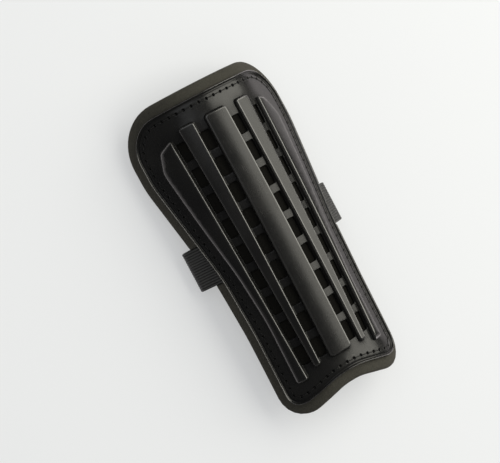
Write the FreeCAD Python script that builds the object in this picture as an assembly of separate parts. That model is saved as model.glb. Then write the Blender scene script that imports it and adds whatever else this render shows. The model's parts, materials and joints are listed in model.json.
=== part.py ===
import FreeCAD, Part

import math
import os

# Slip-in shin guard with a stitched foam backing and an elastic calf strap.
# Frame: the guard lies shell up, +Z out of the shell, +Y towards the knee end,
# +X to the right.  The origin is the middle of the hollow foam face that rests on
# the leg.  The model is drawn with the shell's crown at z = 0 and lifted at the end.
# Outlines are drawn flat, as (s, y): s is the arc length across the shell from
# the crown line and y the length.  They are then wrapped round the curved shell.

Vector = FreeCAD.Vector

# ---- driving dimensions, mm -------------------------------------------------
CROWN_RADIUS = 53.0          # radius across the shell, to its outer face
CROWN_REACH = 40.6           # s where the round crown ends and the straight flank starts
BOW_RADIUS = 1600.0          # radius along the crown line
KNEE_END = 100.5             # shell edge at the knee end
ANKLE_END = -102.6           # lowest point of the two ankle lobes
SHELL_WALL = 1.6
RIB_HEIGHT = 3.0             # rib top above the shell's outer face
BEAD_HEIGHT = 1.0            # raised bead round the shell edge
BEAD_WIDTH = 2.2
FOAM_THICKNESS = 6.0
FOAM_FLANGE = 7.6            # foam beyond the shell edge
SEAM_INSET = 5.0             # stitch line inside the shell edge
SEAM_GROOVE_WIDTH = 3.2
SEAM_GROOVE_DEPTH = 1.8
STITCH_PITCH = 5.3
STITCH_LENGTH = 3.7
THREAD_RADIUS = 0.35
SLOT_PITCH = 18.25
SLOT_LENGTH = 12.5
SLOT_WIDTH = 4.6
SLOT_CORNER_RADIUS = 0.9
SLOT_COUNT = 9
SLOT_MIDDLE = -1.0           # y of the middle slot
STRAP_WIDTH = 27.0
STRAP_THICKNESS = 1.5
STRAP_TUCK = 17.0            # strap held between shell and foam, inside the shell edge
STRAP_RUN = 6.0              # straight strap between the foam edge and the fold
LEFT_FOLD_RADIUS = 5.2       # to the middle of the strap
RIGHT_FOLD_RADIUS = 3.0
LONG_BAND_END = 36.0         # x of the free end of the long band
SHORT_BAND_END = 2.0         # x of the free end of the short band
END_TAB_LENGTH = 34.0        # free end of the long band, with the hook patch
PATCH_THICKNESS = 0.7
PATCH_MARGIN = 2.0           # elastic left bare round a patch
PATCH_SEAM_INSET = 1.8
PATCH_STITCH_PITCH = 3.0
PATCH_THREAD_RADIUS = 0.2
CLEARANCE = 0.1

FOAM_TOP = -SHELL_WALL - CLEARANCE / 2
FOAM_BACK = FOAM_TOP - FOAM_THICKNESS
STRAP_HEIGHT = FOAM_TOP - CLEARANCE - STRAP_THICKNESS / 2    # middle of the tucked strap

# Corners of the right half of each flat outline, (s, y, corner radius).
SHELL_CORNERS = [(60.4, KNEE_END, 24.0), (60.4, 62.0, 60.0), (47.3, -9.0, 120.0),
                 (45.2, -50.0, 300.0), (45.2, -101.6, 9.0), (33.0, ANKLE_END - 0.6, 14.0),
                 (7.0, -96.4, 45.0)]
CENTRE_RIB_CORNERS = [(7.9, 87.0, 1.5), (7.9, -84.0, 1.5)]
INNER_RIB_CORNERS = [(14.6, 86.9, 1.5), (25.5, 86.9, 1.5), (19.3, -84.5, 1.5),
                     (14.3, -84.5, 1.5)]
OUTER_RIB_CORNERS = [(32.3, 82.8, 1.5), (43.5, 78.6, 5.0), (48.6, 66.0, 14.0),
                     (43.6, 30.0, 80.0), (36.6, -12.0, 200.0), (33.7, -45.0, 200.0),
                     (33.9, -89.5, 2.0), (25.4, -89.5, 1.5)]
# Middle of each groove at the first and the last slot, as s.
INNER_GROOVE = (11.25, 11.15)
OUTER_GROOVE = (28.6, 22.7)


# ---- wrapping flat outlines round the shell ---------------------------------
def slope_at(s):
    """Angle across the shell at arc length s: it grows round the crown, then stays."""
    return max(-CROWN_REACH, min(CROWN_REACH, s)) / CROWN_RADIUS


def section_point(s, height):
    """Point of the mid-length section at arc length s, height above the shell face."""
    angle = slope_at(s)
    flank = s - angle * CROWN_RADIUS
    radius = CROWN_RADIUS + height
    return Vector(radius * math.sin(angle) + flank * math.cos(angle), 0,
                  radius * math.cos(angle) - CROWN_RADIUS - flank * math.sin(angle))


def surface_point(s, y, height):
    """Point of the curved guard at flat place (s, y), height above the shell face."""
    point = section_point(s, height)
    reach = BOW_RADIUS + point.z
    return Vector(point.x, y, math.sqrt(reach ** 2 - y ** 2) - BOW_RADIUS)


def radial_point(s, y, level):
    """Point at the height level on the line that leaves the shell squarely at (s, y)."""
    point = surface_point(s, y, 0)
    return Vector(point.x + (level - point.z) * math.tan(slope_at(s)), y, level)


def layer(bottom, top):
    """The curved slab between two heights above the shell face."""
    side = CROWN_REACH + 45
    bow = 5.0

    def half_section(height, direction):
        crown, shoulder, rim = [section_point(direction * s, height)
                                for s in (CROWN_REACH / 2, CROWN_REACH, side)]
        return (Part.Arc(section_point(0, height), crown, shoulder).toShape(),
                Part.makeLine(shoulder, rim))

    edges = []
    for height in (top, bottom):
        for direction in (1, -1):
            edges += half_section(height, direction)
    for direction in (1, -1):
        rim = direction * side
        edges.append(Part.makeLine(section_point(rim, top), section_point(rim, bottom)))
    face = Part.Face(Part.Wire(Part.__sortEdges__(edges)))
    axis = Vector(0, 0, -BOW_RADIUS)
    face.rotate(axis, Vector(1, 0, 0), -bow)
    return face.revolve(axis, Vector(1, 0, 0), 2 * bow)


def rounded_outline(corners):
    """Closed flat wire of straight sides and arcs through rounded corners."""
    count = len(corners)
    arcs = []
    for i, (s, y, radius) in enumerate(corners):
        here = Vector(s, y, 0)
        back = Vector(*corners[i - 1][:2], 0) - here
        ahead = Vector(*corners[(i + 1) % count][:2], 0) - here
        back.normalize()
        ahead.normalize()
        half = back.getAngle(ahead) / 2
        reach = radius / math.tan(half)
        middle = back + ahead
        middle.normalize()
        nearest = here + middle * (radius / math.sin(half) - radius)
        arcs.append((here + back * reach, nearest, here + ahead * reach))
    edges = []
    for i, (start, nearest, end) in enumerate(arcs):
        edges.append(Part.Arc(start, nearest, end).toShape())
        edges.append(Part.makeLine(end, arcs[(i + 1) % count][0]))
    return Part.Wire(edges)


def mirrored(corners):
    """The right half's corners followed by their mirror images."""
    return corners + [(-s, y, radius) for s, y, radius in reversed(corners)]


def wrapped(flat_wire, level):
    """The flat wire carried radially to a level plane."""
    edges = []
    for edge in flat_wire.OrderedEdges:
        points = edge.discretize(Number=9)
        curve = Part.BSplineCurve()
        curve.interpolate([radial_point(p.x, p.y, level) for p in points])
        edges.append(curve.toShape())
    return Part.Wire(edges)


def punch(flat_wire):
    """Solid whose walls stand square to the shell along the flat wire."""
    below = -47.0
    above = 9.0
    return Part.makeLoft([wrapped(flat_wire, below), wrapped(flat_wire, above)], True, True)


def patch_of(slab, flat_wire):
    return slab.common(punch(flat_wire))


# ---- shell ------------------------------------------------------------------
SHELL_OUTLINE = rounded_outline(mirrored(SHELL_CORNERS))


def rib_outlines():
    right = [INNER_RIB_CORNERS, OUTER_RIB_CORNERS]
    left = [[(-s, y, r) for s, y, r in reversed(corners)] for corners in right]
    return [rounded_outline(corners) for corners in [mirrored(CENTRE_RIB_CORNERS)] + right + left]


def slot_punch(s, y):
    """Round-cornered block that stands square to the shell at flat place (s, y)."""
    reach = 8.0
    corner = Vector(-SLOT_WIDTH / 2, y - SLOT_LENGTH / 2, -reach)
    block = Part.makeBox(SLOT_WIDTH, SLOT_LENGTH, 2 * reach, corner)
    upright = [edge for edge in block.Edges if abs(edge.tangentAt(0).z) > 0.5]
    block = block.makeFillet(SLOT_CORNER_RADIUS, upright)
    block.rotate(Vector(0, 0, -CROWN_RADIUS), Vector(0, 1, 0), math.degrees(slope_at(s)))
    return block


def slot_punches():
    """Punches for the vent slots of the four grooves."""
    punches = []
    for first, last in (INNER_GROOVE, OUTER_GROOVE):
        for i in range(SLOT_COUNT):
            s = first + (last - first) * i / (SLOT_COUNT - 1)
            y = SLOT_MIDDLE + ((SLOT_COUNT - 1) / 2 - i) * SLOT_PITCH
            punches += [slot_punch(s, y), slot_punch(-s, y)]
    return punches


def make_shell():
    shell = patch_of(layer(-SHELL_WALL, 0), SHELL_OUTLINE)
    inside_bead = SHELL_OUTLINE.makeOffset2D(-BEAD_WIDTH)
    bead_layer = layer(-SHELL_WALL / 2, BEAD_HEIGHT)
    bead = patch_of(bead_layer, SHELL_OUTLINE).cut(punch(inside_bead))
    solids = [bead]
    hollows = []
    for outline in rib_outlines():
        solids.append(patch_of(layer(-SHELL_WALL / 2, RIB_HEIGHT), outline))
        hollow_layer = layer(-SHELL_WALL - 1, RIB_HEIGHT - SHELL_WALL)
        hollows.append(patch_of(hollow_layer, outline.makeOffset2D(-SHELL_WALL)))
    shell = shell.fuse(solids)
    return shell.cut(hollows + slot_punches())


# ---- foam backing -----------------------------------------------------------
def make_foam():
    foam = patch_of(layer(FOAM_BACK, FOAM_TOP), SHELL_OUTLINE.makeOffset2D(FOAM_FLANGE))
    outer = SHELL_OUTLINE.makeOffset2D(-SEAM_INSET + SEAM_GROOVE_WIDTH / 2)
    inner = SHELL_OUTLINE.makeOffset2D(-SEAM_INSET - SEAM_GROOVE_WIDTH / 2)
    groove_layer = layer(FOAM_BACK - 1, FOAM_BACK + SEAM_GROOVE_DEPTH)
    groove = patch_of(groove_layer, outer).cut(punch(inner))
    foam = foam.cut(groove)
    pocket = layer(STRAP_HEIGHT - STRAP_THICKNESS / 2 - CLEARANCE, 1)
    for side in (1, -1):
        reach = FOAM_FLANGE + STRAP_TUCK + 20
        start = side * (shell_edge_at_strap() - STRAP_TUCK - CLEARANCE)
        half = STRAP_WIDTH / 2 + CLEARANCE
        window = Part.makePolygon([Vector(start, -half, 0), Vector(start + side * reach, -half, 0),
                                   Vector(start + side * reach, half, 0), Vector(start, half, 0),
                                   Vector(start, -half, 0)])
        foam = foam.cut(patch_of(pocket, window))
    return foam


# ---- stitching --------------------------------------------------------------
def make_stitch(length, radius):
    """One stitch along +X about the origin: a round-ended length of thread."""
    half = length / 2 - radius
    body = Part.makeCylinder(radius, 2 * half, Vector(-half, 0, 0), Vector(1, 0, 0))
    caps = [Part.makeSphere(radius, Vector(end, 0, 0)) for end in (-half, half)]
    return body.fuse(caps).removeSplitter()


def placed(stitch, middle, along):
    """A copy of the stitch at a middle point, turned to lie along a direction."""
    copy = stitch.copy()
    turn = FreeCAD.Rotation(Vector(1, 0, 0), along)
    copy.Placement = FreeCAD.Placement(middle, turn)
    return copy


def make_seam(height):
    """Separate stitches lying along the seam line at one height."""
    line = SHELL_OUTLINE.makeOffset2D(-SEAM_INSET)
    count = round(line.Length / STITCH_PITCH)
    points = line.discretize(Number=4 * count + 1)
    stitch = make_stitch(STITCH_LENGTH, THREAD_RADIUS)
    stitches = []
    for i in range(count):
        back, middle, ahead = [surface_point(points[4 * i + k].x, points[4 * i + k].y, height)
                               for k in (1, 2, 3)]
        stitches.append(placed(stitch, middle, ahead - back))
    return Part.makeCompound(stitches)


# ---- calf strap -------------------------------------------------------------
def shell_edge_at_strap():
    """Arc length from the crown to the shell edge at the strap."""
    ray = Part.makeLine(Vector(0, 0, 0), Vector(90, 0, 0))
    return ray.common(Part.Face(SHELL_OUTLINE)).Length


def flank():
    """Direction down the right flank, and the direction square to it, into the guard."""
    angle = slope_at(CROWN_REACH)
    return (Vector(math.cos(angle), 0, -math.sin(angle)),
            Vector(-math.sin(angle), 0, -math.cos(angle)))


def fold_start():
    """Middle of the right strap where its fold starts."""
    heading, _ = flank()
    edge = shell_edge_at_strap() + FOAM_FLANGE
    return section_point(edge, STRAP_HEIGHT) + heading * STRAP_RUN


def fold_centre(fold_radius):
    """Centre of the right strap's fold, which is also its hinge axis."""
    _, inward = flank()
    return fold_start() + inward * fold_radius


def extruded(wire):
    """Strap piece: the section wire, at y = 0, carried across the strap's width."""
    face = Part.Face(wire)
    face.translate(Vector(0, -STRAP_WIDTH / 2, 0))
    return face.extrude(Vector(0, STRAP_WIDTH, 0))


def arc_band(centre, radius, first, last):
    """Curved strap section about a centre; angles from +X towards -Z."""
    def rim(r, angle):
        return centre + Vector(r * math.cos(angle), 0, -r * math.sin(angle))

    inner = radius - STRAP_THICKNESS / 2
    outer = radius + STRAP_THICKNESS / 2
    middle = (first + last) / 2
    edges = [Part.Arc(rim(outer, first), rim(outer, middle), rim(outer, last)).toShape(),
             Part.makeLine(rim(outer, last), rim(inner, last)),
             Part.Arc(rim(inner, last), rim(inner, middle), rim(inner, first)).toShape(),
             Part.makeLine(rim(inner, first), rim(outer, first))]
    return extruded(Part.Wire(edges))


def box(x_start, x_end, half_width, bottom, top):
    corner = Vector(min(x_start, x_end), -half_width, bottom)
    return Part.makeBox(abs(x_end - x_start), 2 * half_width, top - bottom, corner)


def make_anchor():
    """Strap end held under the shell, out over the foam edge to the fold."""
    first = shell_edge_at_strap() - STRAP_TUCK
    tucked = arc_band(Vector(0, 0, -CROWN_RADIUS), CROWN_RADIUS + STRAP_HEIGHT,
                      slope_at(first) - math.pi / 2, slope_at(CROWN_REACH) - math.pi / 2)
    half = flank()[1] * (STRAP_THICKNESS / 2)
    shoulder = section_point(CROWN_REACH, STRAP_HEIGHT)
    end = fold_start()
    corners = [shoulder - half, end - half, end + half, shoulder + half, shoulder - half]
    return tucked.fuse(extruded(Part.makePolygon(corners))).removeSplitter()


def make_fold(fold_radius):
    """The strap's turn from the flank to the flat behind the leg."""
    start = slope_at(CROWN_REACH) - math.pi / 2
    return arc_band(fold_centre(fold_radius), fold_radius, start, math.pi / 2)


def band_level(fold_radius):
    """Height of the middle of the strap behind the leg."""
    return fold_centre(fold_radius).z - fold_radius


def make_band(fold_radius, x_end):
    level = band_level(fold_radius)
    return box(fold_centre(fold_radius).x, x_end, STRAP_WIDTH / 2,
               level - STRAP_THICKNESS / 2, level + STRAP_THICKNESS / 2)


def mirror_x(shape):
    return shape.mirror(Vector(0, 0, 0), Vector(1, 0, 0))


def patch_seam(x_start, x_end, level):
    """Stitches round a patch, lying on the strap's bare face at one level."""
    half_x = abs(x_end - x_start) / 2 - PATCH_SEAM_INSET
    half_y = STRAP_WIDTH / 2 - PATCH_MARGIN - PATCH_SEAM_INSET
    centre = Vector((x_start + x_end) / 2, 0, level)
    stitch = make_stitch(PATCH_STITCH_PITCH * 0.7, PATCH_THREAD_RADIUS)
    stitches = []
    for side in (1, -1):
        for along, across, length, width in ((Vector(1, 0, 0), Vector(0, 1, 0), half_x, half_y),
                                             (Vector(0, 1, 0), Vector(1, 0, 0), half_y, half_x)):
            count = int(2 * length / PATCH_STITCH_PITCH)
            for i in range(count):
                step = (i - (count - 1) / 2) * PATCH_STITCH_PITCH
                middle = centre + along * step + across * (side * width)
                stitches.append(placed(stitch, middle, along))
    return Part.makeCompound(stitches)


def make_closure():
    """Hook patch on the long band's end, loop patch on the short band, and their stitches."""
    long_top = band_level(LEFT_FOLD_RADIUS) + STRAP_THICKNESS / 2
    short_bottom = band_level(RIGHT_FOLD_RADIUS) - STRAP_THICKNESS / 2
    gap = 0.02
    half = STRAP_WIDTH / 2 - PATCH_MARGIN
    hook_start = LONG_BAND_END - END_TAB_LENGTH + PATCH_MARGIN
    hook_end = LONG_BAND_END - PATCH_MARGIN
    loop_start = SHORT_BAND_END + PATCH_MARGIN
    loop_end = LONG_BAND_END
    hook_bottom = long_top + gap
    loop_top = short_bottom - gap
    thread_gap = 0.22
    return {
        "hook_patch": box(hook_start, hook_end, half, hook_bottom, hook_bottom + PATCH_THICKNESS),
        "loop_patch": box(loop_start, loop_end, half, loop_top - PATCH_THICKNESS, loop_top),
        "hook_patch_thread": patch_seam(hook_start, hook_end,
                                        long_top - STRAP_THICKNESS - thread_gap),
        "loop_patch_thread": patch_seam(loop_start, loop_end,
                                        short_bottom + STRAP_THICKNESS + thread_gap),
    }


def main():
    os.makedirs("parts", exist_ok=True)
    tab_start = LONG_BAND_END - END_TAB_LENGTH
    # The long band is drawn on the right and mirrored to the left.
    long_band = mirror_x(make_band(LEFT_FOLD_RADIUS, -tab_start + CLEARANCE))
    level = band_level(LEFT_FOLD_RADIUS)
    half_strap = STRAP_THICKNESS / 2
    nodes = {
        "shell": make_shell(),
        "foam_backing": make_foam(),
        "seam_needle_thread": make_seam(THREAD_RADIUS + CLEARANCE),
        "seam_bobbin_thread": make_seam(FOAM_BACK + SEAM_GROOVE_DEPTH - THREAD_RADIUS - CLEARANCE),
        "strap_left_anchor": mirror_x(make_anchor()),
        "strap_right_anchor": make_anchor(),
        "strap_left_fold": mirror_x(make_fold(LEFT_FOLD_RADIUS)),
        "strap_right_fold": make_fold(RIGHT_FOLD_RADIUS),
        "strap_left_band": long_band,
        "strap_left_end": box(tab_start, LONG_BAND_END, STRAP_WIDTH / 2,
                              level - half_strap, level + half_strap),
        "strap_right_band": make_band(RIGHT_FOLD_RADIUS, SHORT_BAND_END),
    }
    nodes.update(make_closure())
    for name, shape in nodes.items():
        shape.translate(Vector(0, 0, -FOAM_BACK))
        shape.exportStep(f"parts/{name}.step")


main()
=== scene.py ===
import json
import math
import random

import bpy
import numpy as np
from mathutils import Matrix, Vector, noise
from mathutils.geometry import delaunay_2d_cdt
from mathutils.kdtree import KDTree

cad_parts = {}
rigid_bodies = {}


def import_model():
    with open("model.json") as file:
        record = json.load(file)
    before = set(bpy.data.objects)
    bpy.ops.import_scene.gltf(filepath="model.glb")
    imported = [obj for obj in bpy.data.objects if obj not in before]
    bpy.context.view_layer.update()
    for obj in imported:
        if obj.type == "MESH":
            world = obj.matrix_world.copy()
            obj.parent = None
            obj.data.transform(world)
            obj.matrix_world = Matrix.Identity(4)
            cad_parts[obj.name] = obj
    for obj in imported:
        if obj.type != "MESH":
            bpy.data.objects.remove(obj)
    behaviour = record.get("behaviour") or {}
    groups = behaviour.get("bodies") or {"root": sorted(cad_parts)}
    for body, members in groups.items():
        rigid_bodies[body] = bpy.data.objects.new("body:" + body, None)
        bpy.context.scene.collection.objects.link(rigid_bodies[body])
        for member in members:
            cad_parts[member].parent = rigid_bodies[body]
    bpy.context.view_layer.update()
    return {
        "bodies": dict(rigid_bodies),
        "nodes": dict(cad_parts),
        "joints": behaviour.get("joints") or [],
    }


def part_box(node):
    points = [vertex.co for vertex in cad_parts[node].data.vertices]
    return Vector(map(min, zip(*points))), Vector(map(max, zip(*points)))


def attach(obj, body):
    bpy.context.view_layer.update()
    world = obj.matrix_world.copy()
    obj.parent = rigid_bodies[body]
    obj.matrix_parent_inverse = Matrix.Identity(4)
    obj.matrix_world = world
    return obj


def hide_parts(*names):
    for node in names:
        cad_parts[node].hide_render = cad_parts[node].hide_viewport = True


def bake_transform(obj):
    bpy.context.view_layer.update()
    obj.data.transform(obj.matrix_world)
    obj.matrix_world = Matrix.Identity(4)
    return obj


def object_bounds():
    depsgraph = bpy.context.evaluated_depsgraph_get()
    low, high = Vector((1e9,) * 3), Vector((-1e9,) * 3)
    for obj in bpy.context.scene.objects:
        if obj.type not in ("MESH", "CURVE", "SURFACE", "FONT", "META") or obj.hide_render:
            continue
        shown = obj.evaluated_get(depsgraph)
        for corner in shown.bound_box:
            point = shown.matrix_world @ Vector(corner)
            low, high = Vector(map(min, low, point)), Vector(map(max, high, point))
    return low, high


# The look of a slip-in shin guard.  Shapes are drawn flat in millimetres, as (s, y):
# s is the distance across the shell's face from the crown line, y the place along the
# guard, with the knee end at +y.  They are then laid on the curved guard.  Heights are
# measured from the shell's face.  A corner is (s, y, radius).

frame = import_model()

MM = 0.001

# ---- measuring and meshing ------------------------------------------------------
CHUNK = 4000                         # points measured at once
ON_EDGE = 0.01                       # mm, nearer than this counts as on an edge
SAME_PLACE = 1e-5                    # mm, points nearer than this are merged
LEAST_AREA = 1e-7                    # mm2, twice the area of the thinnest triangle kept
SHARPEST = 0.04                      # mm, radius of a corner drawn inside itself
ARC_STEP = 0.3                       # radians between the points of a tight corner
OUTLINE_STEP = 2.5                   # mm between the points of an outline
SHEET_SPACING = 2.4                  # mm between the points inside the shell and the foam

# ---- dimensions of the guard, mm ---------------------------------------------
CROWN_RADIUS = 53.0                  # across the shell, as far as the reach
CROWN_REACH = 40.6                   # the flanks are straight beyond it
BOW_RADIUS = 1600.0                  # along the guard
SHELL_WALL = 1.6
FOAM_THICKNESS = 6.0
FOAM_FLANGE = 7.6                    # foam past the shell's edge
FOAM_TOP = -SHELL_WALL - 0.05
FOAM_BACK = FOAM_TOP - FOAM_THICKNESS
CROWN_HEIGHT = -FOAM_BACK            # the shell's face above the origin
SEAM_INSET = 5.0
STITCH_PITCH = 5.3
SLOT_COUNT = 9
SLOT_PITCH = 18.25
SLOT_HALF_WIDTH = 2.9
SLOT_HALF_LENGTH = 6.25
SLOT_CORNER_RADIUS = 0.9
SLOT_MIDDLE = -1.0                   # y of the middle slots
INNER_GROOVE = (11.25, 11.15)        # s of the first and the last slot
OUTER_GROOVE = (28.45, 22.85)
STRAP_WIDTH = 27.0
STRAP_THICKNESS = 1.5
STRAP_GAP = 0.1                      # between the shell's back and the straps
STRAP_HEIGHT = FOAM_TOP - STRAP_GAP - STRAP_THICKNESS / 2
STRAP_BED = -3.42                    # the foam's face where the straps press it down
STRAP_TUCK = 17.0                    # strap held under the shell
STRAP_RUN = 6.0                      # straight strap between the foam's edge and the fold
SHELL_EDGE_AT_STRAP = 48.96
LEFT_FOLD_RADIUS = 5.2
RIGHT_FOLD_RADIUS = 3.0
LEFT_DRIFT = 2.2                     # how far the left strap is sewn on towards the knee end
LONG_BAND_JOIN = 37.0                # x where the long band's fixed part ends
LONG_BAND_END = 36.0                 # x of the long band's tip, past the middle
SHORT_BAND_END = 2.0                 # x of the short band's tip
ELASTIC_RIBS = 16
NEEDLE_THREAD_RADIUS = 0.2
BOBBIN_THREAD_RADIUS = 0.3

SHELL_CORNERS = [(60.4, 100.5, 24.0), (60.4, 62.0, 60.0), (47.3, -9.0, 120.0),
                 (45.2, -50.0, 300.0), (45.2, -101.6, 9.0), (33.0, -103.2, 14.0),
                 (7.0, -96.4, 45.0)]
CENTRE_RIB_CORNERS = [(7.9, 87.0, 2.6), (7.9, -84.0, 2.8)]
INNER_RIB_CORNERS = [(14.6, 86.9, 2.0), (25.5, 86.9, 2.6), (19.3, -84.5, 2.0),
                     (14.3, -84.5, 1.8)]
OUTER_RIB_CORNERS = [(32.3, 82.8, 1.5), (43.5, 78.6, 5.0), (48.6, 66.0, 14.0),
                     (43.6, 30.0, 80.0), (36.6, -12.0, 200.0), (33.7, -45.0, 200.0),
                     (33.9, -89.5, 2.0), (25.4, -89.5, 1.5)]
OUTER_SIDE = slice(1, 7)             # the corners of an outer rib's outer side

# ---- cross-sections of edges: (distance inside the outline, height) -----------
RIB_PROFILE = [(-3.3, 0.0), (-2.2, 0.03), (-1.1, 0.1), (-0.3, 0.17), (-0.08, 0.3), (0.1, 0.85),
               (0.35, 1.85), (0.56, 2.52), (0.82, 2.84), (1.15, 2.96), (1.75, 3.0)]
RIB_SLOPE = [(-3.3, 0.0), (-1.4, 0.1), (-0.3, 0.3), (0.1, 0.7), (0.35, 1.15), (0.6, 1.45),
             (1.0, 1.7), (1.7, 2.05), (2.4, 2.35), (3.2, 2.7), (4.4, 3.0)]
BEAD_PROFILE = [(0.0, -0.8), (0.1, 0.1), (0.22, 0.75), (0.4, 1.12), (0.58, 1.2), (0.78, 1.08),
                (1.0, 0.65), (1.25, 0.12), (1.5, -0.16), (1.9, -0.3), (2.3, -0.26), (2.8, -0.08),
                (3.3, 0.0)]
RIM_PROFILE = [(0.0, -0.8), (0.1, -0.35), (0.22, -0.1), (0.35, 0.0)]
INNER_RIM_PROFILE = [(0.0, 0.8), (0.1, 0.35), (0.35, 0.08), (0.8, 0.0)]
FOAM_TOP_PROFILE = [(0.0, -4.4), (0.15, -3.3), (0.5, -2.4), (1.0, -1.95), (1.8, -1.72),
                    (3.0, -1.62), (6.3, -1.68)]
FOAM_BACK_PROFILE = [(0.0, -4.4), (0.15, -5.5), (0.5, -6.5), (1.0, -7.1), (1.8, -7.55),
                     (3.0, -7.85), (4.5, -8.0), (6.3, -8.1), (8.0, -8.1), (9.6, -8.0),
                     (11.0, -7.7), (11.8, -7.3), (12.3, -6.7), (12.6, -6.2), (12.9, -6.7),
                     (13.4, -7.2), (14.2, -7.5), (15.6, -7.63), (18.0, -7.65)]
# painted highlight along the bead and the ribs' top edges: (distance inside the outline, share)
BEAD_HIGHLIGHT = [(0.1, 0.0), (0.4, 1.0), (0.78, 1.0), (1.25, 0.0)]
RIB_HIGHLIGHT = [(0.1, 0.0), (0.35, 1.0), (1.15, 1.0), (1.75, 0.0)]
DIMPLE_PROFILE = [(0.0, -1.35), (0.65, -1.25), (0.88, -0.45), (1.06, 0.12), (1.5, 0.0)]


# ---- flat outlines ------------------------------------------------------------
def mirrored(corners):
    """The right half's corners followed by their mirror images."""
    return corners + [(-s, y, radius) for s, y, radius in reversed(corners)]


def flipped(corners):
    """A closed outline's corners carried to the other side of the crown line."""
    return [(-s, y, radius) for s, y, radius in reversed(corners)]


def unit(vector):
    """The vector at length one."""
    return vector / np.linalg.norm(vector)


def ring_parts(corners, inset=0.0, step=OUTLINE_STEP):
    """Points of a rounded clockwise outline drawn some way inside it, corner by corner."""
    count = len(corners)
    spots = [np.array(corner[:2]) for corner in corners]
    ahead = [unit(spots[(i + 1) % count] - spots[i]) for i in range(count)]
    arcs = []
    for i in range(count):
        before, after = ahead[i - 1], ahead[i]
        right_before = np.array([before[1], -before[0]])
        right_after = np.array([after[1], -after[0]])
        spot = spots[i] + inset * (right_before + right_after) / (1 + right_before @ right_after)
        turn = math.atan2(before[0] * after[1] - before[1] * after[0], before @ after)
        convex = turn < 0
        radius = max(corners[i][2] + (-inset if convex else inset), SHARPEST)
        start = spot - before * radius * math.tan(abs(turn) / 2)
        normal = right_before if convex else -right_before
        centre = start + normal * radius
        steps = max(3, math.ceil(abs(turn) / ARC_STEP), round(corners[i][2] * abs(turn) / step))
        first = math.atan2(-normal[1], -normal[0])
        angles = first + turn * np.arange(steps + 1) / steps
        arcs.append(centre + radius * np.column_stack([np.cos(angles), np.sin(angles)]))
    parts = []
    for i, arc in enumerate(arcs):
        gap = np.linalg.norm(spots[(i + 1) % count] - spots[i])
        steps = max(1, round(gap / step))
        share = np.arange(1, steps)[:, None] / steps
        line = arc[-1] + share * (arcs[(i + 1) % count][0] - arc[-1])
        parts.append(np.vstack([arc, line]))
    return parts


def ring(corners, inset=0.0, step=OUTLINE_STEP):
    """All the points of a rounded outline drawn some way inside it."""
    return np.vstack(ring_parts(corners, inset, step))


def gap_to(points, path):
    """Distance from each point to a chain of points."""
    start = path[:-1]
    along = path[1:] - start
    length = np.maximum((along ** 2).sum(axis=1), 1e-12)
    gaps = []
    for chunk in np.array_split(points, max(1, len(points) // CHUNK)):
        offset = chunk[:, None, :] - start[None]
        share = np.clip((offset * along).sum(axis=2) / length, 0, 1)
        gaps.append(np.sqrt(((offset - share[..., None] * along) ** 2).sum(axis=2).min(axis=1)))
    return np.concatenate(gaps)


def depth_in(points, loop):
    """Distance of each point inside a closed loop, negative outside it."""
    closed = np.vstack([loop, loop[:1]])
    (x0, y0), (x1, y1) = closed[:-1].T, closed[1:].T
    inside = []
    for chunk in np.array_split(points, max(1, len(points) // CHUNK)):
        x, y = chunk[:, :1], chunk[:, 1:]
        spans = (y0 > y) != (y1 > y)
        rise = np.where(y1 == y0, 1.0, y1 - y0)
        crossing = spans & (x < (x1 - x0) * (y - y0) / rise + x0)
        inside.append(crossing.sum(axis=1) % 2 == 1)
    return np.where(np.concatenate(inside), 1, -1) * gap_to(points, closed)


def profile(table, distance):
    """Heights read from a cross-section at some distances from its edge."""
    places, heights = zip(*table)
    return np.interp(distance, places, heights)


def smooth_step(low, high, value):
    """Nothing below the low value, one above the high one, and a soft rise between."""
    share = np.clip((value - low) / (high - low), 0, 1)
    return share * share * (3 - 2 * share)


# ---- meshes -------------------------------------------------------------------
def flat_mesh(loops, paths, spacing, inside):
    """Points and triangles through closed loops and open paths, with points between them."""
    points = []
    edges = []
    for chain, closed in [(loop, True) for loop in loops] + [(path, False) for path in paths]:
        first = len(points)
        count = len(chain)
        points += [Vector(place) for place in chain]
        edges += [(first + i, first + (i + 1) % count) for i in range(count if closed else count - 1)]
    taken = KDTree(len(points))
    for i, place in enumerate(points):
        taken.insert((place.x, place.y, 0), i)
    taken.balance()
    low = np.min(points, axis=0)
    high = np.max(points, axis=0)
    row_gap = spacing * math.sqrt(3) / 2
    for row in range(int((high[1] - low[1]) / row_gap) + 1):
        for column in range(int((high[0] - low[0]) / spacing) + 1):
            x = low[0] + (column + 0.5 * (row % 2)) * spacing
            y = low[1] + row * row_gap
            if taken.find((x, y, 0))[2] > 0.5 * spacing:
                points.append(Vector((x, y)))
    places, _, faces, _, _, _ = delaunay_2d_cdt(points, edges, [], 0, SAME_PLACE, False)
    places = np.array([tuple(place) for place in places])
    faces = np.array([tuple(face) for face in faces])
    a, b, c = (places[faces[:, k]] for k in range(3))
    area = (b[:, 0] - a[:, 0]) * (c[:, 1] - a[:, 1]) - (b[:, 1] - a[:, 1]) * (c[:, 0] - a[:, 0])
    faces[area < 0] = faces[area < 0][:, ::-1]
    keep = (np.abs(area) > LEAST_AREA) & inside((a + b + c) / 3)
    return places, faces[keep]


def two_faced(places, faces, top, back, shared, lay):
    """Closed solid between two heights over a flat mesh; the two faces meet at shared points.

    Also returns the row that each of its points had before unused ones were dropped.
    """
    count = len(places)
    partner = np.arange(count) + count
    partner[shared] = np.arange(count)[shared]
    solid = np.vstack([lay(places, top), lay(places, back)])
    all_faces = np.vstack([faces, partner[faces[:, ::-1]]])
    used, renumbered = np.unique(all_faces, return_inverse=True)
    return solid[used], renumbered.reshape(all_faces.shape), used


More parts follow.
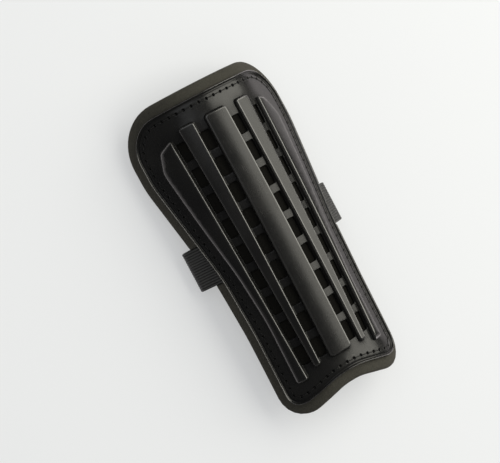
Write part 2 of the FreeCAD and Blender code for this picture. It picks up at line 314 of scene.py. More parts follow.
def on_guard(places, heights):
    """Flat places and heights laid on the curved guard, mm."""
    s, y = places[:, 0], places[:, 1]
    angle = np.clip(s, -CROWN_REACH, CROWN_REACH) / CROWN_RADIUS
    flank = s - angle * CROWN_RADIUS
    radius = CROWN_RADIUS + heights
    x = radius * np.sin(angle) + flank * np.cos(angle)
    z = radius * np.cos(angle) - CROWN_RADIUS - flank * np.sin(angle)
    bowed = np.sqrt((BOW_RADIUS + z) ** 2 - y ** 2) - BOW_RADIUS
    return np.column_stack([x, y, bowed + CROWN_HEIGHT])


def make_piece(name, points, faces, material, uv=None):
    """A smooth-shaded piece from points in mm."""
    mesh = bpy.data.meshes.new(name)
    mesh.from_pydata((np.asarray(points) * MM).tolist(), [], [list(face) for face in faces])
    mesh.polygons.foreach_set("use_smooth", [True] * len(mesh.polygons))
    if uv is not None:
        layer = mesh.uv_layers.new(name="along")
        corners = np.empty(len(mesh.loops), dtype=np.int32)
        mesh.loops.foreach_get("vertex_index", corners)
        layer.data.foreach_set("uv", np.asarray(uv)[corners].ravel())
    mesh.update()
    piece = bpy.data.objects.new(name, mesh)
    bpy.context.scene.collection.objects.link(piece)
    mesh.materials.append(material)
    return piece


def store_layer(piece, name, values):
    """Keeps one value for each point of a piece, for its material to read."""
    layer = piece.data.attributes.new(name, "FLOAT", "POINT")
    layer.data.foreach_set("value", values)


def crisp_normals(piece):
    """Lets broad faces lead the shading, so that flat tops look flat up to their edges."""
    modifier = piece.modifiers.new("broad faces lead", "WEIGHTED_NORMAL")
    modifier.weight = 80


def tubes(paths, radius, sides=8):
    """Points and faces of round threads along paths of places, mm."""
    nearly_up = np.array([0.01, 0.02, 1.0])
    points = []
    faces = []
    for path in paths:
        path = np.asarray(path)
        middle = len(path) // 2
        along = np.gradient(path, axis=0)
        along /= np.linalg.norm(along, axis=1)[:, None]
        side = unit(np.cross(along[middle], path[middle] - path[0] + nearly_up))
        first = len(points)
        for place, direction in zip(path, along):
            across = unit(side - direction * (side @ direction))
            up = np.cross(direction, across)
            for k in range(sides):
                turn = 2 * math.pi * k / sides
                points.append(place + radius * (math.cos(turn) * across + math.sin(turn) * up))
        for ring_index in range(len(path) - 1):
            row = first + ring_index * sides
            for k in range(sides):
                following = (k + 1) % sides
                faces.append((row + k, row + following, row + sides + following, row + sides + k))
        faces.append(tuple(first + k for k in reversed(range(sides))))
        last = first + (len(path) - 1) * sides
        faces.append(tuple(last + k for k in range(sides)))
    return points, faces


# ---- materials ----------------------------------------------------------------
class Paint:
    """A principled material and short ways to add texture nodes to it."""

    def __init__(self, name):
        self.material = bpy.data.materials.new(name)
        self.material.use_nodes = True
        self.tree = self.material.node_tree
        self.surface = self.tree.nodes["Principled BSDF"]
        self.place = self.add("ShaderNodeTexCoord").outputs["Object"]

    def add(self, kind, settings=(), **inputs):
        """A new node; inputs are named with underscores for spaces."""
        node = self.tree.nodes.new(kind)
        for key, value in dict(settings).items():
            setattr(node, key, value)
        for key, value in inputs.items():
            self.give(node.inputs[key.replace("_", " ")], value)
        return node

    def give(self, socket, value):
        """Links or sets an input."""
        if isinstance(value, bpy.types.NodeSocket):
            self.tree.links.new(value, socket)
        else:
            socket.default_value = value

    def noise(self, scale, detail=3.0, stretch=None):
        place = self.place
        if stretch:
            place = self.add("ShaderNodeMapping", Vector=place, Scale=stretch).outputs[0]
        return self.add("ShaderNodeTexNoise", Vector=place, Scale=scale, Detail=detail).outputs[0]

    def cells(self, scale):
        node = self.add("ShaderNodeTexVoronoi", Vector=self.place, Scale=scale)
        return node.outputs["Distance"]

    def maths(self, operation, first, second=0.0):
        node = self.add("ShaderNodeMath", {"operation": operation})
        self.give(node.inputs[0], first)
        self.give(node.inputs[1], second)
        return node.outputs[0]

    def distance_from(self, middle):
        node = self.add("ShaderNodeVectorMath", {"operation": "DISTANCE"})
        self.give(node.inputs[0], self.place)
        self.give(node.inputs[1], middle)
        return node.outputs["Value"]

    def remap(self, value, low, high, to_low, to_high):
        node = self.add("ShaderNodeMapRange")
        for index, given in enumerate((value, low, high, to_low, to_high)):
            self.give(node.inputs[index], given)
        return node.outputs[0]

    def mix(self, share, first, second):
        node = self.add("ShaderNodeMix", {"data_type": "RGBA"})
        self.give(node.inputs[0], share)
        self.give(node.inputs[6], first)
        self.give(node.inputs[7], second)
        return node.outputs[2]

    def openness(self, reach):
        """One on open faces, near nothing where walls closer than the reach close them in."""
        closed_in, in_the_open, least = 0.7, 0.97, 0.03
        node = self.add("ShaderNodeAmbientOcclusion", {"samples": 6}, Distance=reach)
        return self.remap(node.outputs["AO"], closed_in, in_the_open, least, 1.0)

    def layer(self, name):
        """The value stored for each point of the mesh under a name."""
        return self.add("ShaderNodeAttribute", {"attribute_name": name}).outputs["Fac"]

    def bump(self, height, depth, below=None):
        node = self.add("ShaderNodeBump", Height=height, Distance=depth, Strength=1.0)
        if below is not None:
            self.give(node.inputs["Normal"], below)
        return node.outputs[0]

    def finish(self, **inputs):
        for key, value in inputs.items():
            self.give(self.surface.inputs[key.replace("_", " ")], value)
        return self.material


def shell_plastic():
    """Semi-gloss black moulded plastic with a faint grain, hairline scratches and painted highlights
    along its edges.
    """
    paint = Paint("shell_plastic")
    patches = paint.noise(38.0, 4.0)
    grain = paint.noise(2600.0, 2.0)
    hairs = paint.noise(220.0, 2.0, stretch=(9.0, 0.35, 1.0))
    scratches = paint.remap(hairs, 0.66, 0.72, 0.0, 1.0)
    edge_highlight = paint.layer("edge_highlight")
    base = paint.mix(paint.remap(patches, 0.35, 0.7, 0.0, 1.0),
                     (0.0075, 0.0075, 0.0075, 1), (0.0115, 0.0112, 0.0105, 1))
    # painted highlight: the edges get a lighter colour, a coat and full shine, the rest half shine
    colour = paint.mix(edge_highlight, base, (0.018, 0.0176, 0.0163, 1))
    roughness = paint.remap(patches, 0.3, 0.7, 0.21, 0.29)
    roughness = paint.maths("ADD", roughness, paint.maths("MULTIPLY", scratches, 0.1))
    fine = paint.bump(grain, 0.000012)
    marked = paint.bump(scratches, 0.000006, fine)
    # painted shade: the shine is dimmed in the grooves and other recesses by ambient occlusion
    grooves = paint.remap(paint.openness(0.006), 0.0, 1.0, 0.3, 1.0)
    shine = paint.maths("MULTIPLY", grooves, paint.remap(edge_highlight, 0.0, 1.0, 0.5, 1.0))
    return paint.finish(Base_Color=colour, Roughness=roughness, Normal=marked,
                        Specular_IOR_Level=shine,
                        Coat_Weight=edge_highlight, Coat_Roughness=0.18)


def eva_foam():
    """Dark olive grey EVA foam with a fine open grain, painted near black with shade under the shell.
    """
    paint = Paint("eva_foam")
    patches = paint.noise(60.0, 3.0)
    pores = paint.cells(1900.0)
    grain = paint.noise(1300.0, 4.0)
    base = paint.mix(paint.remap(patches, 0.3, 0.7, 0.0, 1.0),
                     (0.029, 0.0275, 0.0215, 1), (0.042, 0.0396, 0.031, 1))
    colour = paint.mix(paint.remap(grain, 0.35, 0.65, 0.0, 1.0), base, (0.057, 0.054, 0.043, 1))
    coarse = paint.bump(grain, 0.0002)
    open_pores = paint.bump(pores, 0.0001, coarse)
    shaded_under_shell = paint.layer("shaded_under_shell")
    # painted shade: under the shell the foam is coloured near black, with less shine and no sheen
    colour = paint.mix(shaded_under_shell, colour, (0.009, 0.0086, 0.0072, 1))
    return paint.finish(Base_Color=colour, Roughness=paint.remap(grain, 0.3, 0.7, 0.72, 0.9),
                        Normal=open_pores,
                        Specular_IOR_Level=paint.remap(shaded_under_shell, 0.0, 1.0, 0.22, 0.05),
                        Sheen_Weight=paint.remap(shaded_under_shell, 0.0, 1.0, 0.05, 0.0), Sheen_Roughness=0.5)


def woven_elastic():
    """Black ribbed elastic: fine cross threads over the lengthwise ribs, with painted shade in the
    furrows between them.
    """
    paint = Paint("woven_elastic")
    along = paint.add("ShaderNodeTexCoord").outputs["UV"]
    split = paint.add("ShaderNodeSeparateXYZ", Vector=along)
    across_mm, along_mm = split.outputs[0], split.outputs[1]
    rib = paint.maths("SINE", paint.maths("MULTIPLY", across_mm,
                                          2 * math.pi * ELASTIC_RIBS / STRAP_WIDTH))
    shifted = paint.maths("ADD", paint.maths("MULTIPLY", along_mm, 2 * math.pi / 0.62),
                          paint.maths("MULTIPLY", rib, 0.9))
    pick = paint.remap(paint.maths("SINE", shifted), -1.0, 1.0, 0.0, 1.0)
    strand = paint.remap(paint.maths("SINE", paint.maths("MULTIPLY", across_mm,
                                                         2 * math.pi / 0.42)), -1.0, 1.0, 0.0, 1.0)
    weave = paint.maths("MULTIPLY", pick, paint.remap(strand, 0.0, 1.0, 0.55, 1.0))
    fuzz = paint.noise(5200.0, 2.0)
    patches = paint.noise(90.0, 3.0)
    # painted shade: the furrows between the ribs are coloured near black, the crests keep the lit
    # weave colour
    crest = paint.maths("ABSOLUTE", paint.maths("SINE", paint.maths(
        "MULTIPLY", across_mm, math.pi * ELASTIC_RIBS / STRAP_WIDTH)))
    lit = paint.mix(weave, (0.03, 0.03, 0.029, 1), (0.062, 0.063, 0.06, 1))
    base = paint.mix(paint.remap(crest, 0.35, 0.75, 0.0, 1.0), (0.004, 0.004, 0.004, 1), lit)
    colour = paint.mix(paint.remap(patches, 0.4, 0.75, 0.0, 0.35), base, (0.05, 0.05, 0.046, 1))
    threads = paint.bump(weave, 0.00014)
    hairy = paint.bump(fuzz, 0.00003, threads)
    return paint.finish(Base_Color=colour, Roughness=0.72, Normal=hairy, Sheen_Weight=0.35,
                        Sheen_Roughness=0.35, Specular_IOR_Level=0.35)


def sewing_thread():
    """Black twisted polyester thread."""
    paint = Paint("sewing_thread")
    twist = paint.noise(2400.0, 1.0, stretch=(1.0, 1.0, 1.6))
    fuzz = paint.noise(7000.0, 2.0)
    colour = paint.mix(twist, (0.005, 0.005, 0.005, 1), (0.02, 0.0195, 0.019, 1))
    ply = paint.bump(twist, 0.00012)
    hairy = paint.bump(fuzz, 0.00002, ply)
    return paint.finish(Base_Color=colour, Roughness=paint.remap(fuzz, 0.3, 0.7, 0.5, 0.7),
                        Normal=hairy, Specular_IOR_Level=0.2, Sheen_Weight=0.05)


def closure_tape(name, light):
    """Black nylon tape for the hooks or the loops."""
    paint = Paint(name)
    fuzz = paint.noise(3600.0, 3.0)
    tufts = paint.cells(1500.0)
    colour = paint.mix(paint.remap(fuzz, 0.35, 0.7, 0.0, 1.0), (0.007, 0.007, 0.007, 1),
                       (light, light, light * 0.97, 1))
    rough = paint.bump(fuzz, 0.00012)
    tufted = paint.bump(tufts, 0.00008, rough)
    return paint.finish(Base_Color=colour, Roughness=paint.remap(tufts, 0.0, 0.6, 0.55, 0.8),
                        Normal=tufted, Sheen_Weight=0.4)


# ---- shell --------------------------------------------------------------------
SHELL = mirrored(SHELL_CORNERS)
OUTER_RIBS = [OUTER_RIB_CORNERS, flipped(OUTER_RIB_CORNERS)]
PLAIN_RIBS = [mirrored(CENTRE_RIB_CORNERS), INNER_RIB_CORNERS, flipped(INNER_RIB_CORNERS)]


def vent_slots():
    """Middle of each vent slot in the four grooves, and the sideways lean of its groove."""
    slots = []
    for first, last in (INNER_GROOVE, OUTER_GROOVE):
        lean = (first - last) / ((SLOT_COUNT - 1) * SLOT_PITCH)
        for i in range(SLOT_COUNT):
            s = first + (last - first) * i / (SLOT_COUNT - 1)
            y = SLOT_MIDDLE + ((SLOT_COUNT - 1) / 2 - i) * SLOT_PITCH
            slots += [(s, y, lean), (-s, y, -lean)]
    return slots


def slot_corners(slot):
    """Corners of a vent slot that leans with its groove."""
    s, y, lean = slot
    return [(s + side * SLOT_HALF_WIDTH + lean * end * SLOT_HALF_LENGTH,
             y + end * SLOT_HALF_LENGTH, SLOT_CORNER_RADIUS)
            for side, end in ((1, 1), (1, -1), (-1, -1), (-1, 1))]


def gap_to_slots(points):
    """Distance from each point to the nearest slot's edge, negative inside a slot."""
    nearest = np.full(len(points), SLOT_PITCH)
    for slot in vent_slots():
        close = np.abs(points - slot[:2]).max(axis=1) < 2 * SLOT_HALF_LENGTH
        depth = depth_in(points[close], ring(slot_corners(slot), 0.0, 2.0))
        nearest[close] = np.minimum(nearest[close], -depth)
    return nearest


def seam_holes():
    """Evenly spaced needle holes round the seam line."""
    line = ring(SHELL, SEAM_INSET)
    closed = np.vstack([line, line[:1]])
    travelled = np.concatenate([[0], np.cumsum(np.linalg.norm(np.diff(closed, axis=0), axis=1))])
    count = round(travelled[-1] / STITCH_PITCH)
    stops = travelled[-1] * np.arange(count) / count
    return np.column_stack([np.interp(stops, travelled, closed[:, k]) for k in (0, 1)])


def circle(middle, radius, sides=8):
    """Points of a small clockwise circle."""
    turns = -2 * math.pi * np.arange(sides) / sides
    return middle + radius * np.column_stack([np.cos(turns), np.sin(turns)])


def outer_side(rib):
    """An outer rib's outer side, as a chain of points."""
    return np.vstack(ring_parts(rib)[OUTER_SIDE])


def shell_height(points):
    """Height of the shell's outer face over flat points."""
    height = profile(BEAD_PROFILE, depth_in(points, ring(SHELL)))
    for rib in PLAIN_RIBS:
        height += profile(RIB_PROFILE, depth_in(points, ring(rib)))
    for rib in OUTER_RIBS:
        depth = depth_in(points, ring(rib))
        slope = np.sign(depth) * gap_to(points, outer_side(rib))
        height += np.minimum(profile(RIB_PROFILE, depth), profile(RIB_SLOPE, slope))
    height += profile(RIM_PROFILE, gap_to_slots(points))
    holes = seam_holes()
    tree = KDTree(len(holes))
    for i, hole in enumerate(holes):
        tree.insert((*hole, 0), i)
    tree.balance()
    hole_gap = np.array([tree.find((*point, 0))[2] for point in points])
    return height + profile(DIMPLE_PROFILE, hole_gap)


def highlighted_edges(points):
    """One along the bead and the ribs' top edges, where a highlight is painted on the plastic."""
    edge_highlight = profile(BEAD_HIGHLIGHT, depth_in(points, ring(SHELL)))
    for rib in PLAIN_RIBS + OUTER_RIBS:
        edge_highlight = np.maximum(edge_highlight, profile(RIB_HIGHLIGHT, depth_in(points, ring(rib))))
    return edge_highlight


def make_shell(material):
    """The ribbed shell with its bead, vent slots and needle holes."""
    loops = [ring(SHELL, inset) for inset, _ in BEAD_PROFILE]
    for rib in PLAIN_RIBS:
        loops += [ring(rib, inset) for inset, _ in RIB_PROFILE]
    for rib in OUTER_RIBS:
        loops += [ring(rib, inset) for inset, _ in RIB_PROFILE]
        loops += [ring(rib, inset) for inset, _ in RIB_SLOPE[-3:-1]]
    for slot in vent_slots():
        loops += [ring(slot_corners(slot), -gap, 2.0) for gap, _ in RIM_PROFILE]
    for hole in seam_holes():
        loops += [circle(hole, radius) for radius, _ in DIMPLE_PROFILE[1:]]
    edge = ring(SHELL)
    places, faces = flat_mesh(loops, [], SHEET_SPACING,
                              lambda spots: (depth_in(spots, edge) > 0) & (gap_to_slots(spots) > 0))
    edge_depth = depth_in(places, edge)
    slot_gap = gap_to_slots(places)
    top = shell_height(places)
    back = (-SHELL_WALL + profile(INNER_RIM_PROFILE, edge_depth)
            + profile(INNER_RIM_PROFILE, slot_gap))
    shared = (np.abs(edge_depth) < ON_EDGE) | (np.abs(slot_gap) < ON_EDGE)
    back[shared] = top[shared]
    points, faces, used = two_faced(places, faces, top, back, shared, on_guard)
    shell = make_piece("moulded_shell", points, faces, material)
    # painted edge highlight on the outer face only
    edge_highlight = np.concatenate([highlighted_edges(places), np.zeros(len(places))])[used]
    store_layer(shell, "edge_highlight", edge_highlight)
    crisp_normals(shell)
    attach(shell, "guard")
    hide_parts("shell")


# ---- foam ---------------------------------------------------------------------
BED_WALL = (0.1, 0.9)                # how far past the straps' edges the bed's walls rise
BED_END = (30.6, 31.8)               # s over which the bed's inner end slopes down
SWELL_OUTER = (0.3, 4.0)             # depths between which the border's waves come up
SWELL_INNER = (9.0, 12.0)            # and go down again
WAVE_LENGTH = 17
WAVE_HEIGHT = 0.3
UNDER_SHELL_SHADE_BLEND = 1.4                    # width over which painted shade turns the foam black under the shell


def strap_drift(s):
    """How far the strap on this side of the crown line is moved towards the knee end."""
    return np.where(s < 0, LEFT_DRIFT, 0)


def foam_heights(points):
    """Heights of the foam's front and back faces over flat points."""
    depth = depth_in(points, ring(SHELL, -FOAM_FLANGE))
    top = profile(FOAM_TOP_PROFILE, depth)
    past_edge = np.abs(points[:, 1] - strap_drift(points[:, 0])) - STRAP_WIDTH / 2
    under_strap = (1 - smooth_step(*BED_WALL, past_edge)) * smooth_step(*BED_END, np.abs(points[:, 0]))
    top = np.minimum(top, top + (STRAP_BED - top) * under_strap)
    back = profile(FOAM_BACK_PROFILE, depth)
    swell = smooth_step(*SWELL_OUTER, depth) * (1 - smooth_step(*SWELL_INNER, depth))
    waves = np.array([noise.noise(Vector((s / WAVE_LENGTH, y / WAVE_LENGTH, 0))) for s, y in points])
    return top, back + WAVE_HEIGHT * waves * swell, depth


def bed_lines():
    """Lines across the flanks where the straps' beds step down into the foam."""
    lines = []
    for gap in (BED_WALL[0], 0.5, BED_WALL[1]):
        for side in (1, -1):
            for end in (1, -1):
                y = end * (STRAP_WIDTH / 2 + gap) + strap_drift(side)
                lines.append(np.array([(side * s, y) for s in np.arange(30.5, 60.0, 2.0)]))
    return lines


def make_foam(material):
    """The foam sheet: a soft edge, a stitched groove round its back and the straps' beds."""
    depths = sorted({depth for depth, _ in FOAM_TOP_PROFILE + FOAM_BACK_PROFILE})
    loops = [ring(SHELL, depth - FOAM_FLANGE) for depth in depths]
    edge = ring(SHELL, -FOAM_FLANGE)
    places, faces = flat_mesh(loops, bed_lines(), SHEET_SPACING,
                              lambda spots: depth_in(spots, edge) > 0)
    top, back, depth = foam_heights(places)
    shared = np.abs(depth) < ON_EDGE
    back[shared] = top[shared]
    points, faces, used = two_faced(places, faces, top, back, shared, on_guard)
    foam = make_piece("foam_pad", points, faces, material)
    # painted shade on the front face under the shell; none on the back
    shaded_under_shell = smooth_step(FOAM_FLANGE, FOAM_FLANGE + UNDER_SHELL_SHADE_BLEND, depth)
    store_layer(foam, "shaded_under_shell", np.concatenate([shaded_under_shell, np.zeros(len(places))])[used])
    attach(foam, "guard")
    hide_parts("foam_backing")


# ---- stitching ----------------------------------------------------------------
# A stitch's middle line: (share of the way to the next hole, height).
NEEDLE_STITCH = [(0.0, -1.1), (0.05, -0.9), (0.12, -0.3), (0.18, 0.0), (0.26, 0.07), (0.5, 0.09),
                 (0.74, 0.07), (0.82, 0.0), (0.88, -0.3), (0.95, -0.9), (1.0, -1.1)]
BOBBIN_STITCH = [(0.04, -5.7), (0.1, -6.2), (0.2, -6.42), (0.5, -6.5), (0.8, -6.42), (0.9, -6.2),
                 (0.96, -5.7)]


def make_seam(name, node, stitch, radius, material):
    """Stitches from hole to hole round the guard."""
    holes = seam_holes()
    paths = []
    for here, following in zip(holes, np.roll(holes, -1, axis=0)):
        shares, heights = (np.array(column) for column in zip(*stitch))
        flat = here + shares[:, None] * (following - here)
        paths.append(on_guard(flat, heights))
    points, faces = tubes(paths, radius)
    seam = make_piece(name, points, faces, material)
    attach(seam, "guard")
    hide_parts(node)


# ---- strap --------------------------------------------------------------------
SLOPE = CROWN_REACH / CROWN_RADIUS   # radians, how steeply the flanks fall
TUCK_STEP = 1.2                      # mm between the strap's stations
BAND_STEP = 1.5
TIP_STEP = 1.0
RUN_STEPS = 12
FOLD_STEPS = 24
VALLEY_DEPTH = 0.26                  # of the furrows between the elastic's ribs
EDGE_ROUNDING = 0.5                  # of the elastic's selvedges
DRIFT_START = 5.0                    # x where the left strap begins to drift
DRIFT_END = -45.0                    # x where it has drifted all the way


def section_point(s, height):
    """(x, z) on the right half of the mid-length section."""
    x, _, z = on_guard(np.array([[s, 0.0]]), np.array([height]))[0]
    return np.array([x, z])


FLANK_HEADING = np.array([math.cos(SLOPE), -math.sin(SLOPE)])
FLANK_INWARD = np.array([-math.sin(SLOPE), -math.cos(SLOPE)])
FOLD_START = (section_point(SHELL_EDGE_AT_STRAP + FOAM_FLANGE, STRAP_HEIGHT)
              + FLANK_HEADING * STRAP_RUN)


def fold_centre(fold_radius):
    """(x, z) that the right strap folds round."""
    return FOLD_START + FLANK_INWARD * fold_radius


def strap_route(fold_radius, band_end):
    """Middle line of the right strap, from under the shell to the end of its band."""
    tucked = np.arange(SHELL_EDGE_AT_STRAP - STRAP_TUCK, CROWN_REACH, TUCK_STEP)
    route = [section_point(s, STRAP_HEIGHT) for s in tucked]
    shoulder = section_point(CROWN_REACH, STRAP_HEIGHT)
    run = FOLD_START - shoulder
    route += [shoulder + run * share for share in np.linspace(0, 1, RUN_STEPS, endpoint=False)]
    centre = fold_centre(fold_radius)
    angles = np.linspace(math.pi / 2 - SLOPE, -math.pi / 2, FOLD_STEPS + 1)
    route += [centre + fold_radius * np.array([math.cos(a), math.sin(a)]) for a in angles]
    band_start = route[-1]
    count = max(2, int((band_start[0] - band_end) / BAND_STEP))
    route += [band_start + np.array([(band_end - band_start[0]) * k / count, 0])
              for k in range(1, count + 1)]
    return np.array(route)


def elastic_section():
    """Closed section of the ribbed elastic: (y, thickness) pairs round it."""
    steps = 6 * ELASTIC_RIBS
    side = []
    for k in range(steps + 1):
        y = STRAP_WIDTH * (k / steps - 0.5)
        crest = abs(math.sin(math.pi * ELASTIC_RIBS * k / steps)) ** 0.7
        edge = min(1.0, (STRAP_WIDTH / 2 - abs(y)) / EDGE_ROUNDING)
        half = STRAP_THICKNESS / 2 - VALLEY_DEPTH * (1 - crest)
        side.append((y, half * (0.45 + 0.55 * math.sqrt(edge))))
    return np.array(side + [(y, -half) for y, half in reversed(side)])


def swept_elastic(name, route, material, mirror):
    """Ribbed elastic laid along a route in the x, z plane.

    The left strap starts a little nearer the knee end and runs back to the middle.
    """
    section = elastic_section()
    if mirror:
        route = route * np.array([-1, 1])
    along = np.gradient(route, axis=0)
    along /= np.linalg.norm(along, axis=1)[:, None]
    outward = np.column_stack([-along[:, 1], along[:, 0]])
    travelled = np.concatenate([[0], np.cumsum(np.linalg.norm(np.diff(route, axis=0), axis=1))])
    count = len(section)
    points = []
    uv = []
    for (x, z), (nx, nz), length in zip(route, outward, travelled):
        drift = LEFT_DRIFT * smooth_step(DRIFT_START, DRIFT_END, x)
        for y, lift in section:
            points.append((x + nx * lift, y + drift, z + nz * lift))
            uv.append((y + STRAP_WIDTH / 2, length))
    faces = []
    for station in range(len(route) - 1):
        row = station * count
        for k in range(count):
            following = (k + 1) % count
            faces.append((row + k, row + count + k, row + count + following, row + following))
    faces.append(tuple(range(count)))
    last = (len(route) - 1) * count
    faces.append(tuple(last + k for k in reversed(range(count))))
    return make_piece(name, points, faces, material, uv)


def band_level(fold_radius):
    """Height of the flat band behind the leg."""
    return fold_centre(fold_radius)[1] - fold_radius


def bend_at_fold(piece):
    """Bakes the strap's placement into its points; the turn round the fold is already in its route."""
    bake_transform(piece)


def make_straps(material):
    """The long left strap with its tip, and the short right strap."""
    left_route = strap_route(LEFT_FOLD_RADIUS, LONG_BAND_JOIN)
    left = swept_elastic("calf_strap_left", left_route, material, True)
    bend_at_fold(left)
    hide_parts("strap_left_anchor", "strap_left_fold", "strap_left_band")

    level = band_level(LEFT_FOLD_RADIUS)
    stations = np.arange(LONG_BAND_JOIN, -LONG_BAND_END - 0.01, -TIP_STEP)
    tip_route = np.array([(x, level) for x in stations])
    tip = swept_elastic("calf_strap_left_tip", tip_route, material, True)
    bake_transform(tip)
    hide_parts("strap_left_end")

    right_route = strap_route(RIGHT_FOLD_RADIUS, SHORT_BAND_END)
    right = swept_elastic("calf_strap_right", right_route, material, False)
    bend_at_fold(right)
    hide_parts("strap_right_anchor", "strap_right_fold", "strap_right_band")


# ---- hook and loop ------------------------------------------------------------
PATCH_CORNER = 1.5
PATCH_EDGE = (0, 0.08, 0.25, 0.6)    # distances inside a patch's edge
PATCH_RISE = (0.1, 0.6, 0.9, 1.0)    # and the share of its thickness there
PATCH_SPACING = 0.55
PATCH_ON_EDGE = 0.005
FUZZ_SCALE = 2.1
HOOK_TAPE = {"facing": 1, "thickness": 0.35, "fuzz": 0.02}
LOOP_TAPE = {"facing": -1, "thickness": 0.55, "fuzz": 0.32}
HOOK_PITCH = 1.25
HOOK_MARGIN = 0.8                    # bare tape round the hooks
HOOK_RADIUS = 0.085
HOOK_SEED = 7
# One hook's middle line: (reach along the guard, height above the tape's underside).
HOOK_LINE = [(0.0, 0.25), (0.0, 0.5), (0.04, 0.68), (0.16, 0.8), (0.32, 0.78), (0.4, 0.64)]


def patch_corners(node):
    """Rounded outline of a closure patch, and its lowest and highest z, mm."""
    low, high = (np.array(corner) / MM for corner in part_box(node))
    corners = [(x, y, PATCH_CORNER) for x, y in ((high[0], high[1]), (high[0], low[1]),
                                                 (low[0], low[1]), (low[0], high[1]))]
    return corners, low[2], high[2]


def make_patch_base(name, node, material, slot, body, facing, thickness, fuzz):
    """Patch tape with a rounded edge; its working face points up or down and may be fuzzy."""
    corners, bottom, top = patch_corners(node)
    base = bottom if facing > 0 else top
    loops = [ring(corners, inset, 1.0) for inset in PATCH_EDGE]
    edge = loops[0]
    places, faces = flat_mesh(loops, [], PATCH_SPACING, lambda spots: depth_in(spots, edge) > 0)
    depth = depth_in(places, edge)
    rise = np.interp(depth, PATCH_EDGE, PATCH_RISE) * thickness
    rough = np.array([noise.noise(Vector((x * FUZZ_SCALE, y * FUZZ_SCALE, 3))) for x, y in places])
    rise = rise + fuzz * rough * smooth_step(0.1, 0.8, depth)
    shared = np.abs(depth) < PATCH_ON_EDGE
    flat = np.zeros(len(places))
    flat[shared] = rise[shared]
    if facing > 0:
        upper, lower = base + rise, base + flat
    else:
        upper, lower = base - flat, base - rise
    lower[shared] = upper[shared]
    points, faces, _ = two_faced(places, faces, upper, lower, shared,
                                 lambda flat_places, z: np.column_stack([flat_places, z]))
    patch = make_piece(name, points, faces, material)
    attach(patch, body)
    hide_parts(node)


def make_hooks(material):
    """Rows of small nylon hooks on the long end's patch."""
    corners, bottom, _ = patch_corners("hook_patch")
    high, low = np.array(corners[0][:2]), np.array(corners[2][:2])
    rng = random.Random(HOOK_SEED)
    shift, wobble = 0.08, 0.02
    paths = []
    columns = int((high[0] - low[0] - 2 * HOOK_MARGIN) / HOOK_PITCH)
    rows = int((high[1] - low[1] - 2 * HOOK_MARGIN) / HOOK_PITCH)
    for column in range(columns + 1):
        for row in range(rows + 1):
            x = low[0] + HOOK_MARGIN + column * HOOK_PITCH + rng.uniform(-shift, shift)
            y = low[1] + HOOK_MARGIN + row * HOOK_PITCH + rng.uniform(-shift, shift)
            lean = 1 if column % 2 else -1
            paths.append(np.array([(x + rng.uniform(-wobble, wobble), y + lean * reach, bottom + rise)
                                   for reach, rise in HOOK_LINE]))
    points, faces = tubes(paths, HOOK_RADIUS, 5)
    hooks = make_piece("closure_hooks", points, faces, material)
    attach(hooks, "long_strap_end")


def make_closure(thread):
    """The hook and loop patches, and a thread material for the stitches that hold them."""
    hook_tape = closure_tape("hook_tape", 0.022)
    loop_tape = closure_tape("loop_tape", 0.03)
    make_patch_base("closure_hook_tape", "hook_patch", hook_tape, "hook", "long_strap_end",
                    **HOOK_TAPE)
    make_hooks(hook_tape)
    make_patch_base("closure_loop_tape", "loop_patch", loop_tape, "loop", "short_strap",
                    **LOOP_TAPE)
    for node in ("hook_patch_thread", "loop_patch_thread"):
        seam = frame["nodes"][node]
        seam.data.materials.clear()
        seam.data.materials.append(thread)


# ---- studio, metres -----------------------------------------------------------
FLOOR_HALF = 4.0
FLOOR_GAP = 0.002                    # under the lowest point of the guard
BOUNCE_MIDDLE = (0.14, 0.03, 0.0)    # middle of the part of the floor that reflects brightly
BOUNCE_RANGE = (0.16, 0.42)          # distances from it over which the reflection fades
GLOW_RANGE = (0.25, 1.6)             # distances over which the floor's own glow grows
LENS = 108.0
SENSOR_WIDTH = 36.0
CAMERA_PLACE = (-0.2699, 0.0639, 0.8990)
CAMERA_FORWARD = (0.273, -0.058, -0.960)
CAMERA_RIGHT = (0.843, -0.466, 0.268)
LIGHT_AIM = (0.0, 0.0, 0.0)


def floor_material():
    """Pale matt floor, white to the eye, dimmer in reflections and clear from below."""
    paint = Paint("pale_floor")
    mottle = paint.noise(3.0, 2.0)
    seen = paint.mix(mottle, (0.45, 0.46, 0.475, 1), (0.47, 0.48, 0.495, 1))
    to_eye = paint.add("ShaderNodeLightPath").outputs["Is Camera Ray"]
    from_bounce = paint.distance_from(BOUNCE_MIDDLE)
    reflected = paint.mix(paint.remap(from_bounce, *BOUNCE_RANGE, 0.0, 1.0),
                          (1.0, 0.95, 1.0, 1), (0.1, 0.1, 0.1, 1))
    colour = paint.mix(to_eye, reflected, seen)
    from_guard = paint.distance_from((0.0, 0.0, 0.0))
    glow = paint.maths("MULTIPLY", to_eye, paint.remap(from_guard, *GLOW_RANGE, 0.42, 0.82))
    below = paint.add("ShaderNodeNewGeometry").outputs["Backfacing"]
    above = paint.maths("SUBTRACT", 1.0, paint.maths("MULTIPLY", below, to_eye))
    return paint.finish(Base_Color=colour, Roughness=0.9, Specular_IOR_Level=0.1, Alpha=above,
                        Emission_Color=(0.94, 0.945, 0.94, 1), Emission_Strength=glow)


def sink_with_strap(floor):
    """Lowers the floor as the strap ends swing down, so that it never cuts them."""
    swing = next(joint for joint in frame["joints"] if joint["name"] == "long_strap_swing")
    follow = floor.constraints.new("TRANSFORM")
    follow.target = frame["bodies"]["long_strap"]
    follow.map_from = "ROTATION"
    follow.from_rotation_mode = "YXZ"
    follow.from_max_y_rot = math.radians(swing["range_deg"][1])
    follow.map_to = "LOCATION"
    follow.map_to_z_from = "Y"
    follow.to_max_z = -(LONG_BAND_END + fold_centre(LEFT_FOLD_RADIUS)[0]) * MM


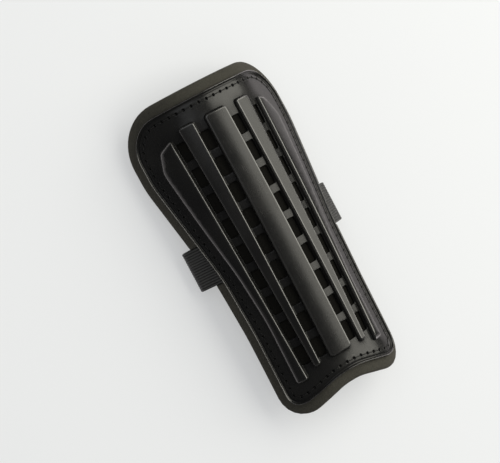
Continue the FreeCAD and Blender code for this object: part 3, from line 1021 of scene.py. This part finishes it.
def make_floor():
    """Floor just under the guard."""
    mesh = bpy.data.meshes.new("floor")
    corners = [(x * FLOOR_HALF, y * FLOOR_HALF, 0) for x, y in ((-1, -1), (1, -1), (1, 1), (-1, 1))]
    mesh.from_pydata(corners, [], [(0, 1, 2, 3)])
    floor = bpy.data.objects.new("floor", mesh)
    floor.location.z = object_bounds()[0][2] - FLOOR_GAP
    bpy.context.scene.collection.objects.link(floor)
    mesh.materials.append(floor_material())
    sink_with_strap(floor)


def add_light(name, place, size, watts, colour):
    """Soft rectangular light at a place, facing the guard."""
    data = bpy.data.lights.new(name, "AREA")
    data.shape = "RECTANGLE"
    data.size, data.size_y = size
    data.energy = watts
    data.color = colour
    light = bpy.data.objects.new(name, data)
    light.location = place
    facing = Vector(LIGHT_AIM) - Vector(place)
    light.rotation_euler = facing.to_track_quat("-Z", "Y").to_euler()
    bpy.context.scene.collection.objects.link(light)


def make_world():
    """Surroundings that are pale to the eye, soft for fill and dim in reflections."""
    seen, fill, mirrored_back = 0.86, 0.42, 0.06
    world = bpy.data.worlds.new("studio")
    world.use_nodes = True
    nodes, links = world.node_tree.nodes, world.node_tree.links
    background = nodes["Background"]
    background.inputs["Color"].default_value = (0.98, 0.99, 1.0, 1)
    path = nodes.new("ShaderNodeLightPath")
    strength = None
    for ray, change in (("Is Camera Ray", seen - fill), ("Is Glossy Ray", mirrored_back - fill)):
        step = nodes.new("ShaderNodeMath")
        step.operation = "MULTIPLY_ADD"
        links.new(path.outputs[ray], step.inputs[0])
        step.inputs[1].default_value = change
        if strength is None:
            step.inputs[2].default_value = fill
        else:
            links.new(strength, step.inputs[2])
        strength = step.outputs[0]
    links.new(strength, background.inputs["Strength"])
    bpy.context.scene.world = world


def make_lights():
    """A broad warm light from the right, a weak cool one from the top left, and the surroundings."""
    add_light("window_right", place=(0.92, 0.1, 0.86), size=(1.4, 1.3), watts=18.0,
              colour=(1.0, 0.975, 0.87))
    add_light("soft_top", place=(-0.5, 0.9, 1.6), size=(1.2, 1.2), watts=3.0,
              colour=(0.96, 0.98, 1.0))
    make_world()
    bpy.context.scene.view_settings.view_transform = "Standard"


def make_camera():
    """Camera above the guard, turned so that the knee end points to the upper left."""
    place = Vector(CAMERA_PLACE)
    forward = Vector(CAMERA_FORWARD).normalized()
    right = Vector(CAMERA_RIGHT).normalized()
    upward = right.cross(forward).normalized()
    right = forward.cross(upward)
    data = bpy.data.cameras.new("camera")
    data.lens = LENS
    data.sensor_width = SENSOR_WIDTH
    camera = bpy.data.objects.new("camera", data)
    camera.matrix_world = Matrix([(right.x, upward.x, -forward.x, place.x),
                                  (right.y, upward.y, -forward.y, place.y),
                                  (right.z, upward.z, -forward.z, place.z), (0, 0, 0, 1)])
    bpy.context.scene.collection.objects.link(camera)
    bpy.context.scene.camera = camera


def main():
    """Builds every piece of the guard, then the floor, the lights and the camera."""
    thread = sewing_thread()
    make_shell(shell_plastic())
    make_foam(eva_foam())
    make_seam("seam_needle_stitches", "seam_needle_thread", NEEDLE_STITCH, NEEDLE_THREAD_RADIUS,
              thread)
    make_seam("seam_bobbin_stitches", "seam_bobbin_thread", BOBBIN_STITCH, BOBBIN_THREAD_RADIUS,
              thread)
    make_straps(woven_elastic())
    make_closure(thread)
    make_floor()
    make_lights()
    make_camera()


main()
